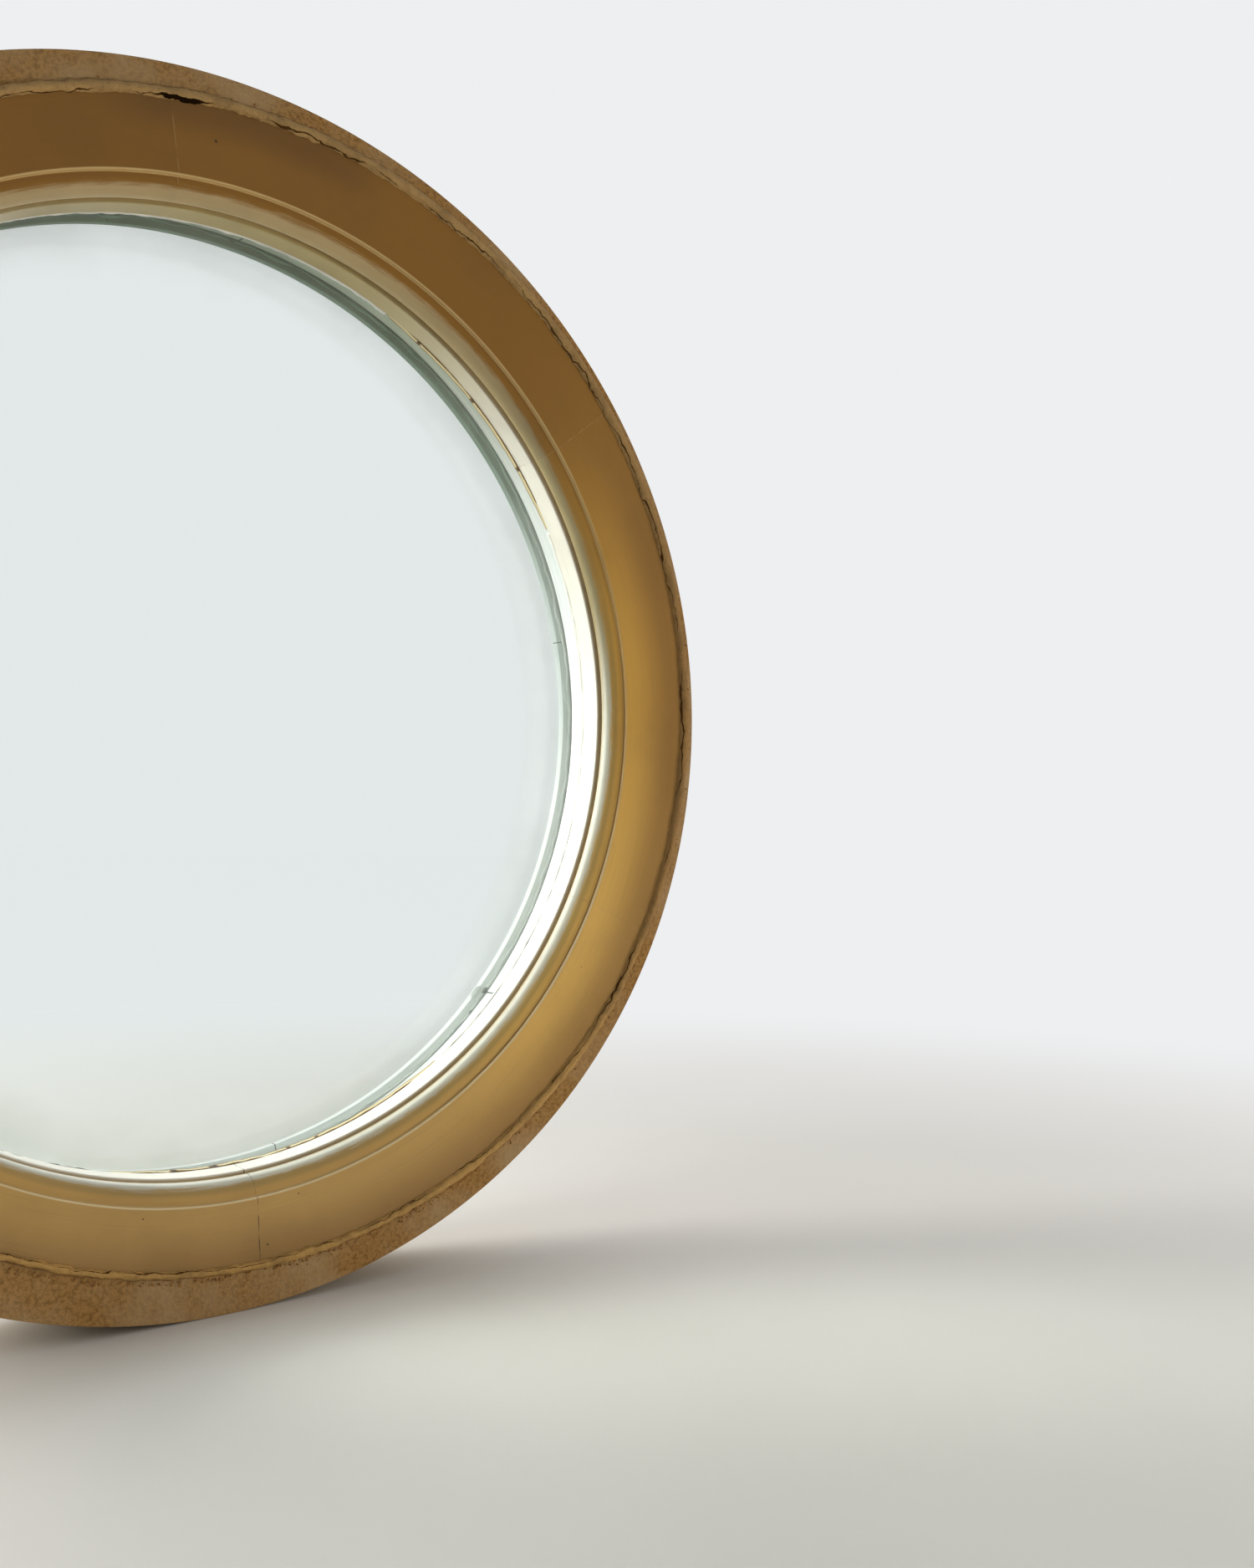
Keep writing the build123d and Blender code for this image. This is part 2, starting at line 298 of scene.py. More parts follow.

# %% [markdown]
# Old paint is never one even shade. Broad patches are soiled by hands and smoke, and the brush
# left faint streaks. Painted shade darkens the face towards its outer edge, less so high up,
# and the very top is darker brown. Painted grey shade lies on the outer half of the
# quarter-round, on the lower part of the ring. Each segment has aged a little differently
# from the next.

# %% Patches, streaks and painted shade
patches = node(gloss_paint, "ShaderNodeTexNoise", {
    "Vector": ring.place, "Scale": 1 / (45 * mm), "Detail": 4.0, "Roughness": 0.55,
})
paint_colour = fade(gloss_paint, paint_colour, "#5f4a2c", (patches, 0.42, 0.72), most=0.14)
paint_colour = fade(gloss_paint, paint_colour, "#6b5433", (brush, 0.5, 0.75), most=0.12)
# Painted shade: darker towards the outer edge of the face, less so high up.
paint_colour = fade(
    gloss_paint, paint_colour, "#7d5426",
    (ring.radius, 250 * mm, 284 * mm), (ring.height, 0.75, 0.3), most=0.65,
)
# Darker brown at the very top of the face.
paint_colour = fade(
    gloss_paint, paint_colour, "#4f3210",
    (ring.radius, 262 * mm, 280 * mm), (ring.height, 0.955, 0.995), most=0.4,
)
# Painted grey shade on the outer half of the quarter-round, on the lower part of the ring.
paint_colour = fade(
    gloss_paint, paint_colour, "#6d6a4a",
    (ring.depth, -32.8 * mm, -31.6 * mm), (ring.depth, -26.5 * mm, -28.5 * mm),
    (ring.height, 0.6, 0.1), most=0.35,
)
tone = node(gloss_paint, "ShaderNodeAttribute", attribute_name="tone").outputs["Fac"]
paint_colour = node(gloss_paint, "ShaderNodeMix", {
    0: tone, 6: paint_colour, 7: "#5a3d1c",
}, data_type="RGBA")
print("nodes in the gloss paint so far:", len(gloss_paint.node_tree.nodes))

# %% [markdown]
# Dust lies in the groove under the quarter-round, where no cloth reaches, and painted shade
# darkens the groove and the end of the quarter-round above it. The foot of the small step has
# painted light and shade: pale at the bottom and in the upper half, and darker down the sides
# below the middle. Cloths have worn the arris of the step pale, and a painted highlight makes
# it paler still, most of all at the top and at the bottom.

# %% Dust and painted shade in the groove, painted light and shade on the step
# Dust and painted shade in the groove and on the end of the quarter-round above it.
groove_dust_and_shade = fade(gloss_paint, "#b59d6c", "#a58e5e", (ring.height, -0.3, 0.05))
groove_dust_and_shade = fade(gloss_paint, groove_dust_and_shade, "#bda676", (ring.height, 0.3, 0.6))
paint_colour = fade(
    gloss_paint, paint_colour, groove_dust_and_shade,
    (ring.depth, -26.4 * mm, -23.4 * mm), (ring.depth, -20.6 * mm, -21.2 * mm),
    (ring.radius, 236.4 * mm, 237.4 * mm),
)
# Painted light and shade at the foot of the step: pale at the bottom and in the upper half, darker down the
# sides below the middle.
step_foot_light_and_shade = fade(gloss_paint, "#c3a267", "#96703c", (ring.height, -0.95, -0.75), (ring.height, 0.35, 0.0))
paint_colour = fade(
    gloss_paint, paint_colour, step_foot_light_and_shade,
    (ring.radius, 246.2 * mm, 246.6 * mm), (ring.radius, 247.6 * mm, 247.2 * mm),
    (ring.depth, -34.0 * mm, -33.6 * mm),
)
# Wear and painted highlight on the arris of the step, strongest at the top and the bottom.
arris_lit_low = zone(gloss_paint, (ring.height, 0.0, -0.5))
arris_lit_high = zone(gloss_paint, (ring.height, 0.2, 0.6))
arris_wear_and_highlight = node(gloss_paint, "ShaderNodeMath", {0: arris_lit_low, 1: arris_lit_high}, operation="MAXIMUM")
arris_wear_and_highlight = node(gloss_paint, "ShaderNodeMath", {0: arris_wear_and_highlight, 1: 0.45}, operation="MAXIMUM")
arris_wear_and_highlight_colour = fade(gloss_paint, "#e0cc9e", "#c9aa70", (ring.height, -0.5, 0.6))
paint_colour = fade(
    gloss_paint, paint_colour, arris_wear_and_highlight_colour,
    (ring.radius, 248.1 * mm, 247.4 * mm), (ring.depth, -33.8 * mm, -34.2 * mm), most=arris_wear_and_highlight,
)

# %% [markdown]
# The segments of the ring move a little with the seasons, and the paint has split finely over
# their joints. Each piece carries its distance from its own ends as an attribute, so the paint
# can draw a hairline there. It is dark where damp lies at the bottom, and elsewhere it is
# only a pale ridge that comes and goes.

# %% Hairlines at the joints
from_joint = node(gloss_paint, "ShaderNodeAttribute", attribute_name="from_joint").outputs["Fac"]
breaks = node(gloss_paint, "ShaderNodeTexNoise", {
    "Vector": ring.place, "Scale": 1 / (7 * mm), "Detail": 2.0,
})
crack_share = zone(gloss_paint, (from_joint, 0.36 * mm, 0.12 * mm), (breaks, 0.36, 0.6))
crack_colour = fade(gloss_paint, "#4a3b22", "#cdaa6c", (ring.height, -0.9, -0.4))
crack_strength = node(gloss_paint, "ShaderNodeMapRange", {
    "Value": ring.height, "From Min": -0.9, "From Max": -0.4, "To Min": 0.85, "To Max": 0.4,
})
crack_visible = node(gloss_paint, "ShaderNodeMath", {
    0: crack_share, 1: crack_strength,
}, operation="MULTIPLY")
paint_colour = node(gloss_paint, "ShaderNodeMix", {
    0: crack_visible, 6: paint_colour, 7: crack_colour,
}, data_type="RGBA")

# %% [markdown]
# A few chips and specks mark the face. Each is a dark dot of about a millimetre at its own
# place, given as its angle, its radius and its size.

# %% Chips and specks
specks = [
    (-85.6, 271.0, 0.7), (-81.5, 250.7, 0.5), (-99.6, 251.9, 0.5), (93.5, 267.0, 1.0),
    (-34.0, 259.0, 0.4),
]
for angle, out, size in specks:
    spot = ring_point(angle, out * mm, room_face)
    paint_colour = spotted(gloss_paint, paint_colour, "#47331a", spot, size * mm, size / 2 * mm)

# %% [markdown]
# The outer margin of the face, beyond the painted filler, was covered when the window was
# fixed, and an ochre haze of lime and sand has stayed on its paint. The filler isn't quite
# round the ring's centre, so the haze is measured from the filler's.

# %% Lime and sand on the margin
filler_centre = Vector((9.3 * mm, 0, 3.4 * mm))
from_filler = node(gloss_paint, "ShaderNodeVectorMath", {
    0: ring.place, 1: (1.0, 0.0, 1.0), 2: -filler_centre,
}, operation="MULTIPLY_ADD")
from_filler = node(gloss_paint, "ShaderNodeVectorMath", {0: from_filler}, operation="LENGTH")
sand = node(gloss_paint, "ShaderNodeTexNoise", {
    "Vector": ring.place, "Scale": 1 / (2.2 * mm), "Detail": 5.0, "Roughness": 0.7,
})
ragged = node(gloss_paint, "ShaderNodeMath", {
    0: sand, 1: 2.5 * mm, 2: from_filler,
}, operation="MULTIPLY_ADD")
hazed = zone(gloss_paint, (ragged, 284.6 * mm, 285.4 * mm))
plaster_colour = fade(gloss_paint, "#b78a4c", "#8a622e", (sand, 0.4, 0.66))
plaster_colour = fade(gloss_paint, plaster_colour, "#bfa074", (patches, 0.35, 0.8))
paint_colour = node(gloss_paint, "ShaderNodeMix", {
    0: hazed, 6: paint_colour, 7: plaster_colour,
}, data_type="RGBA")

# %% [markdown]
# Gloss varies less than colour does. A roughness near 0.3 is an old brushed gloss that has
# been washed, and the lime on the margin is dull. The heights are real: a brush mark is a few
# hundredths of a millimetre, and the sand is up to a millimetre. A Mix node that mixes numbers
# has them in its sockets 2 and 3.

# %% Gloss and brush marks
paint_rough = node(gloss_paint, "ShaderNodeMapRange", {
    "Value": patches, "From Min": 0.3, "From Max": 0.7, "To Min": 0.28, "To Max": 0.42,
})
paint_rough = node(gloss_paint, "ShaderNodeMix", {0: hazed, 2: paint_rough, 3: 0.9}, data_type="FLOAT")
ridges = node(gloss_paint, "ShaderNodeMath", {0: brush, 1: 0.05 * mm}, operation="MULTIPLY")
ridges = node(gloss_paint, "ShaderNodeMath", {
    0: crack_share, 1: -0.2 * mm, 2: ridges,
}, operation="MULTIPLY_ADD")
gritty = node(gloss_paint, "ShaderNodeMath", {0: sand, 1: 1.2 * mm}, operation="MULTIPLY")
relief = node(gloss_paint, "ShaderNodeMix", {0: hazed, 2: ridges, 3: gritty}, data_type="FLOAT")
surface(gloss_paint, {"Base Color": paint_colour, "Roughness": paint_rough, "IOR": 1.5}, relief)

# %% [markdown]
# Outdoors the same timber has a thicker film that rain and sun have chalked. It is dull and
# greyed, with fine checks along the ring where the film has begun to crack. Beside the glass
# it is painted lighter at the foot, as the light that falls there, and dark green under the
# top, partly algae and partly painted shade.

# %% Weathered outdoor paint
outdoor_paint = new_material("alkyd paint, weathered")
ring = ring_coordinates(outdoor_paint)
checks = strokes(outdoor_paint, 25 * mm, 0.8 * mm)
blotches = node(outdoor_paint, "ShaderNodeTexNoise", {
    "Vector": ring.place, "Scale": 1 / (38 * mm), "Detail": 5.0, "Roughness": 0.6,
})
chalked = fade(outdoor_paint, "#bab9a9", "#a5a592", (blotches, 0.3, 0.8))
chalked = fade(outdoor_paint, chalked, "#85816c", (checks, 0.62, 0.72))
# Beside the glass: painted light at the foot, and algae with painted shade under the top.
by_glass_lit_and_shaded = fade(outdoor_paint, "#f8fbfb", "#cdd7d6", (ring.height, -0.3, 0.25))
by_glass_lit_and_shaded = fade(outdoor_paint, by_glass_lit_and_shaded, "#5a7562", (ring.height, 0.2, 0.7))
chalked = fade(outdoor_paint, chalked, by_glass_lit_and_shaded, (ring.radius, 246 * mm, 241 * mm))

# %% [markdown]
# Rain drives into every joint of the outdoor side. The film has split over the joints, dirt
# has drawn a dark line in each split, and a paler patch of filler shows over every pin.

# %% Outdoor joints and filled pins
from_joint = node(outdoor_paint, "ShaderNodeAttribute", attribute_name="from_joint").outputs["Fac"]
split = zone(outdoor_paint, (from_joint, 0.5 * mm, 0.2 * mm))
chalked = node(outdoor_paint, "ShaderNodeMix", {0: split, 6: chalked, 7: "#4c483a"}, data_type="RGBA")
first_pin_angle = 27
pin_radius = 243.5 * mm
pin_head_depth = 28.2 * mm
for number in range(12):
    pin_place = ring_point(first_pin_angle + 30 * number, pin_radius, pin_head_depth)
    chalked = spotted(outdoor_paint, chalked, "#cfcbb8", pin_place, 2.6 * mm, 1.8 * mm)
film = node(outdoor_paint, "ShaderNodeMath", {0: checks, 1: 0.12 * mm}, operation="MULTIPLY")
film = node(outdoor_paint, "ShaderNodeMath", {
    0: split, 1: -0.3 * mm, 2: film,
}, operation="MULTIPLY_ADD")
surface(outdoor_paint, {"Base Color": chalked, "Roughness": 0.6, "IOR": 1.5}, film)

# %% [markdown]
# The rim is out of sight once a window is fixed and was never painted: it is sawn softwood
# that has greyed, with lime dragged over its room-side edge. Each segment was cut from a
# straight plank, so its growth rings are long flat layers, about 2.6 mm apart, and the curve
# of the rim cuts through them. Fine fibres run along the plank. The piece's UV map holds the
# plank's own directions for both. The Wave node draws one wave per unit at a Scale of about
# 2 pi / 20.

# %% Sawn softwood rim
softwood = new_material("sawn softwood, greyed")
ring = ring_coordinates(softwood)
plank = node(softwood, "ShaderNodeUVMap", uv_map="plank")
plank = node(softwood, "ShaderNodeSeparateXYZ", {"Vector": plank}).outputs
in_plank = node(softwood, "ShaderNodeCombineXYZ", {"X": plank["X"], "Y": plank["Y"], "Z": ring.depth})
layer_place = node(softwood, "ShaderNodeVectorMath", {
    0: in_plank, 1: (1 / (110 * mm), 1 / (2.6 * mm), 1 / (24 * mm)),
}, operation="MULTIPLY")
one_wave_per_unit = 0.314
layers = node(softwood, "ShaderNodeTexWave", {
    "Vector": layer_place, "Scale": one_wave_per_unit, "Distortion": 5.0,
    "Detail": 2.0, "Detail Scale": 1.2,
}, bands_direction="Y", wave_profile="SIN").outputs["Fac"]
fibre_place = node(softwood, "ShaderNodeVectorMath", {
    0: in_plank, 1: (1 / (30 * mm), 1 / (1.2 * mm), 1 / (0.9 * mm)),
}, operation="MULTIPLY")
fibres = node(softwood, "ShaderNodeTexNoise", {
    "Vector": fibre_place, "Scale": 1.0, "Detail": 3.0, "Roughness": 0.6,
})
wood_colour = fade(softwood, "#ab956f", "#9a8259", (layers, 0.45, 1.0))
wood_colour = fade(softwood, wood_colour, "#7d6749", (fibres, 0.5, 0.75))

# %% Lime dragged over the rim
smear = node(softwood, "ShaderNodeTexNoise", {
    "Vector": ring.place, "Scale": 1 / (22 * mm), "Detail": 6.0, "Roughness": 0.65,
})
smear_edge = node(softwood, "ShaderNodeMath", {
    0: smear, 1: 34 * mm, 2: -49 * mm,
}, operation="MULTIPLY_ADD")
smear_edge = node(softwood, "ShaderNodeMath", {0: smear_edge, 1: ring.depth}, operation="SUBTRACT")
plastered = zone(softwood, (smear_edge, -1 * mm, 1 * mm))
wood_colour = node(softwood, "ShaderNodeMix", {
    0: plastered, 6: wood_colour, 7: "#cdb289",
}, data_type="RGBA")
relief = node(softwood, "ShaderNodeMath", {0: fibres, 1: 0.15 * mm}, operation="MULTIPLY")
relief = node(softwood, "ShaderNodeMath", {
    0: plastered, 1: 0.5 * mm, 2: relief,
}, operation="MULTIPLY_ADD")
surface(softwood, {"Base Color": wood_colour, "Roughness": 0.75, "IOR": 1.5}, relief)

# %% [markdown]
# The moulded section from the room: the flat face, a small step, the quarter-round, a groove
# and the tapering band that ends in the stop for the glass. Many coats have softened every
# arris, so each corner gets its own small rounding. The quarter-round is one large rounding
# of the corner that the timber had before it was moulded.

# %% Section of the timber ring
step_floor = room_face + 2.0 * mm
ovolo_radius = 9.6 * mm
ovolo_end = step_floor + ovolo_radius
band_start = ovolo_end + 2.4 * mm
groove_radius = 240.4 * mm
stop_face = -8.8 * mm
stop_tip_radius = 235.3 * mm
segment_corners = [
    (line_radius, step_floor, 1.0 * mm, 4),
    (line_radius, room_face, 0.8 * mm, 4),
    (frame_radius, room_face, 0.5 * mm, 2),
    (frame_radius, outdoor_face, 0.8 * mm, 2),
    (rebate_radius, outdoor_face, 0.8 * mm, 2),
    (rebate_radius, stop_face, 0, 0),
    (stop_tip_radius, stop_face, 0.5 * mm, 4),
    (sight_radius, band_start, 0.6 * mm, 4),
    (groove_radius, band_start, 0.8 * mm, 4),
    (groove_radius, ovolo_end, 0.8 * mm, 4),
    (line_radius - ovolo_radius, ovolo_end, 0.5 * mm, 4),
    (line_radius - ovolo_radius, step_floor, ovolo_radius - 0.5 * mm, 20),
]
print("band from", band_start, "to", stop_face)


# %% Mark the joints, the shade and the plank's direction on a stretch
def mark_stretch(bm, start, span, shade=0.0):
    """Stores how far each point is from the stretch's ends, its shade, and the plank's directions."""
    from_end = bm.verts.layers.float.new("from_joint")
    tone_layer = bm.verts.layers.float.new("tone")
    slack = 0.01
    for vert in bm.verts:
        radius = math.hypot(vert.co.x, vert.co.z)
        turned = (math.degrees(math.atan2(vert.co.z, vert.co.x)) - start + slack) % 360 - slack
        vert[from_end] = radius * math.radians(max(0.0, min(turned, span - turned)))
        vert[tone_layer] = shade
    outwards = ring_point(start + span / 2, 1, 0)
    along = Vector((outwards.z, 0, -outwards.x))
    plank_map = bm.loops.layers.uv.new("plank")
    for face in bm.faces:
        for loop in face.loops:
            loop[plank_map].uv = (loop.vert.co.dot(along), loop.vert.co.dot(outwards))


# %% [markdown]
# Faces are sorted to a finish by where they are: those on the rim are bare wood, those
# beyond the glass are outdoors, and the rest is the room's paint.

# %% Build the six segments
segment_shades = [0.0, 0.02, 0.05, 0.12, 0.0, 0.03]
segment_finishes = [gloss_paint, outdoor_paint, softwood]
for number, start in enumerate(joint_angles):
    span = (joint_angles[(number + 1) % 6] - start) % 360
    bm = turn_section(segment_corners, start, span, step_degrees=0.75)
    mark_stretch(bm, start, span, segment_shades[number])
    for face in bm.faces:
        middle = face.calc_center_median()
        if math.hypot(middle.x, middle.z) > frame_radius - 0.3 * mm:
            face.material_index = segment_finishes.index(softwood)
        elif middle.y > stop_face + 1 * mm:
            face.material_index = segment_finishes.index(outdoor_paint)
    add_piece(
        f"ring_segment_{number + 1}", bm, segment_finishes,
        "painted_timber", f"frame_segment_{number + 1}", even=True,
    )

# %% [markdown]
# The outdoor beads are splayed strips, pinned through their slope. They carry the same
# weathered paint, and their nose shows through the glass from the room.

# %% Outdoor beads
bead_seat = 19.2 * mm
bead_nose = 238.6 * mm
bead_back = 256.8 * mm
bead_corners = [
    (bead_nose, bead_seat, 0.3 * mm, 2),
    (bead_back, bead_seat, 0, 0),
    (bead_back, outdoor_face, 0.5 * mm, 2),
    (bead_nose + 12.4 * mm, outdoor_face, 1.4 * mm, 4),
    (bead_nose, bead_seat + 4.5 * mm, 1.4 * mm, 4),
]
bead_span = 90
for number, start in enumerate([12, 102, 192, 282]):
    bm = turn_section(bead_corners, start, bead_span, step_degrees=0.75)
    mark_stretch(bm, start, bead_span)
    add_piece(
        f"splayed_bead_{number + 1}", bm, [outdoor_paint],
        "painted_bead", f"outer_bead_{number + 1}", even=True,
    )

# %% [markdown]
# Float glass is clear, with a faint green that shows most at its edges. A thin film of grime
# has stayed beside the ring, where no cloth wipes well. Cycles can't find lamps through a
# refracting pane, which would leave everything behind it in the dark. So rays that look for
# a lamp meet a Transparent shader with the glass's own tint, and all others meet the glass.

# %% Float glass
float_glass = new_material("float glass")
ring = ring_coordinates(float_glass)
smears = node(float_glass, "ShaderNodeTexNoise", {
    "Vector": ring.place, "Scale": 1 / (60 * mm), "Detail": 3.0,
})
smeared_rough = node(float_glass, "ShaderNodeMapRange", {
    "Value": smears, "From Min": 0.55, "From Max": 0.8, "To Min": 0.0, "To Max": 0.03,
})
clear = node(float_glass, "ShaderNodeBsdfPrincipled", {
    "Base Color": "#fafdfc", "IOR": 1.52, "Transmission Weight": 1.0, "Roughness": smeared_rough,
})
unwiped = node(float_glass, "ShaderNodeMath", {
    0: smears, 1: 40 * mm, 2: ring.radius,
}, operation="MULTIPLY_ADD")
grime = node(float_glass, "ShaderNodeBsdfDiffuse", {"Color": "#c9d2c8"})
pane = node(float_glass, "ShaderNodeMixShader", {
    0: zone(float_glass, (unwiped, 228 * mm, 264 * mm), most=0.1), 1: clear, 2: grime,
})
lamp_way = node(float_glass, "ShaderNodeBsdfTransparent", {"Color": "#fbfdfc"})
shader = node(float_glass, "ShaderNodeMixShader", {
    0: node(float_glass, "ShaderNodeLightPath").outputs["Is Shadow Ray"], 1: pane, 2: lamp_way,
})
node(float_glass, "ShaderNodeOutputMaterial", {"Surface": shader})
print(float_glass.name, "nodes:", len(float_glass.node_tree.nodes))


# %% [markdown]
# The parts that hold the unit together each have a plain industrial finish. They share one
# recipe: a base colour with a darker variation at the size of the real grain, a roughness,
# and a small relief. The values differ for each.

# %% Plain finishes for the glazing parts
def plain_finish(name, light, dark, grain_size, roughness, relief, metallic=0.0):
    """A finish that varies between two colours at one grain size, with a relief in metres."""
    material = new_material(name)
    place = node(material, "ShaderNodeTexCoord").outputs["Object"]
    grains = node(material, "ShaderNodeTexNoise", {
        "Vector": place, "Scale": 1 / grain_size, "Detail": 3.0, "Roughness": 0.6,
    })
    shade = fade(material, light, dark, (grains, 0.35, 0.7))
    raised = node(material, "ShaderNodeMath", {0: grains, 1: relief}, operation="MULTIPLY")
    surface(material, {"Base Color": shade, "Roughness": roughness, "Metallic": metallic}, raised)
    return material


finishes = {
    "butyl": plain_finish("polyisobutylene, extruded", "#23282a", "#15181a", 4 * mm, 0.5, 0.05 * mm),
    "edge_sealant": plain_finish("polysulfide, gunned", "#33363a", "#222528", 6 * mm, 0.6, 0.2 * mm),
    "block_plastic": plain_finish("polypropylene, moulded", "#3f5d8c", "#36517c", 3 * mm, 0.45, 0.02 * mm),
    "glazing_tape": plain_finish("closed-cell foam tape", "#7d6337", "#5c4724", 0.8 * mm, 0.85, 0.1 * mm),
    "plywood": plain_finish("birch plywood, sawn", "#cda97a", "#a98455", 2 * mm, 0.7, 0.1 * mm),
    "pin_steel": plain_finish("mild steel wire, drawn", "#8b8a86", "#6d6a66", 1 * mm, 0.35, 0.01 * mm, 1.0),
    "key_steel": plain_finish("steel, zinc plated", "#9fa3a6", "#86898c", 1 * mm, 0.3, 0.01 * mm, 1.0),
    "drying_beads": plain_finish("molecular sieve beads", "#d9cdb8", "#b7a88e", 1.5 * mm, 0.9, 0.4 * mm),
    "float_glass": float_glass,
}

# %% Give the kept CAD parts their finishes
slot_of = {part["node"]: part["material_slot"] for part in frame["record"]["subparts"]}
for name, item in frame["nodes"].items():
    finish = finishes.get(slot_of[name])
    if finish:
        item.data.materials.clear()
        item.data.materials.append(finish)
        print(name, "is", finish.name)

# %% [markdown]
# The spacer bar is folded aluminium with a satin face, made only partly metallic. It is
# painted green-grey towards the top as shade, and years of damp air have stained it at the
# foot. A fine dark line shows at the two places where its lengths meet on their keys.

# %% Spacer bar finish
spacer_finish = new_material("aluminium, roll-formed")
ring = ring_coordinates(spacer_finish)
rolled = strokes(spacer_finish, 120 * mm, 0.5 * mm)
stains = strokes(spacer_finish, 8 * mm, 5 * mm)
from_joint = node(spacer_finish, "ShaderNodeAttribute", attribute_name="from_joint").outputs["Fac"]
bar_colour = fade(spacer_finish, "#f2f5f5", "#c9d2d2", (rolled, 0.4, 0.7))
# Painted shade: green-grey towards the top.
bar_colour = fade(spacer_finish, bar_colour, "#a9b19a", (ring.height, 0.45, 1.0))
bar_colour = fade(spacer_finish, bar_colour, "#4a524e", (from_joint, 0.35 * mm, 0.2 * mm))
bar_colour = fade(spacer_finish, bar_colour, "#7d8b86", (stains, 0.5, 0.75), (ring.height, -0.84, -0.92))
relief = node(spacer_finish, "ShaderNodeMath", {0: rolled, 1: 0.02 * mm}, operation="MULTIPLY")
surface(spacer_finish, {"Base Color": bar_colour, "Metallic": 0.3, "Roughness": 0.35}, relief)

# %% Build the spacer bars
spacer_radius = 241.8 * mm
spacer_near = -2.5 * mm
spacer_far = 12.9 * mm
spacer_back_radius = 248.3 * mm
shoulder = 2.5 * mm
spacer_corners = [
    (spacer_radius, spacer_near, 0.6 * mm, 4),
    (spacer_back_radius - shoulder, spacer_near, 0, 0),
    (spacer_back_radius, spacer_near + shoulder, 0, 0),
    (spacer_back_radius, spacer_far - shoulder, 0, 0),
    (spacer_back_radius - shoulder, spacer_far, 0, 0),
    (spacer_radius, spacer_far, 0.6 * mm, 4),
]
spacer_gap = math.degrees(0.4 * mm / spacer_radius)
for name, start, end in (("short", -41.7, 85.7), ("long", 85.7, 318.3)):
    start = start + spacer_gap / 2
    span = end - start - spacer_gap / 2
    bm = turn_section(spacer_corners, start, span, step_degrees=0.75)
    mark_stretch(bm, start, span)
    add_piece(
        f"spacer_{name}", bm, [spacer_finish], "spacer_aluminium", f"spacer_bar_{name}", even=True,
    )

# %% [markdown]
# Sealants are gunned along a joint and tooled with a wet finger, so their face is never even.
# The sweep is made with plain corners, and then each of its points moves in or out by noise.
# The noise is fractal: each octave of it is twice as fine and half as strong as the last.

# %% Uneven a gunned bead
def rough(place, octaves):
    """Fractal noise at a place, between about -1 and 1."""
    increment = 1.0
    lacunarity = 2.0
    return noise.fractal(place, increment, lacunarity, octaves)


def uneven(bm, height, wavelength, seed, grip_radius):
    """Moves points inwards or outwards by noise, but not those further out than grip_radius."""
    for vert in bm.verts:
        radius = math.hypot(vert.co.x, vert.co.z)
        if radius < grip_radius:
            shift = height * rough(vert.co / wavelength + Vector((seed, seed, seed)), octaves=3)
            vert.co += Vector((vert.co.x, 0, vert.co.z)) / radius * shift


# %% [markdown]
# Outdoors the joint between the pane and the beads was sealed with silicone, white once. Under
# the top it is green, partly algae and partly painted shade, and a few dark smudges sit on its lip.

# %% Weathered silicone
outer_pane_face = 17.2 * mm
silicone_lip = 241.8 * mm
weather_sealant = new_material("silicone, weathered")
ring = ring_coordinates(weather_sealant)
folds = strokes(weather_sealant, 30 * mm, 0.8 * mm)
silicone_colour = fade(weather_sealant, "#fafdfd", "#d3dfde", (folds, 0.45, 0.7))
# Green under the top: algae with painted shade.
algae_and_shade = fade(weather_sealant, "#86ab93", "#4c6a57", (folds, 0.4, 0.6))
silicone_colour = fade(weather_sealant, silicone_colour, algae_and_shade, (ring.height, 0.2, 0.72))
for angle, size in ((-41.4, 3.2), (-45.1, 2.8), (-33.2, 1.9), (86.4, 2.2)):
    smudge = ring_point(angle, silicone_lip - 0.8 * mm, outer_pane_face)
    silicone_colour = spotted(
        weather_sealant, silicone_colour, "#4d5a58", smudge, size * mm, size / 2 * mm,
    )
relief = node(weather_sealant, "ShaderNodeMath", {0: folds, 1: 0.3 * mm}, operation="MULTIPLY")
surface(weather_sealant, {"Base Color": silicone_colour, "Roughness": 0.35}, relief)

# %% Sealant in the outdoor joint
clearance = 0.05 * mm
silicone_root = silicone_lip + 3.0 * mm
weather_corners = [
    (silicone_lip, outer_pane_face + clearance, 0.3 * mm, 2),
    (silicone_root, outer_pane_face + clearance, 0, 0),
    (silicone_root, bead_seat - clearance, 0, 0),
    (silicone_lip, bead_seat - clearance, 0.3 * mm, 2),
]
bm = turn_section(weather_corners, 0, 360, step_degrees=0.5)
uneven(bm, height=1.6 * mm, wavelength=14 * mm, seed=3.0, grip_radius=244 * mm)
add_piece("weather_bead", bm, [weather_sealant], "weather_sealant", "weather_sealant")

# %% [markdown]
# At the lower right a dab of this sealant was left on the outer pane, and swells past the
# nose of the bead into the sight opening. It is a squashed ball with a little noise.

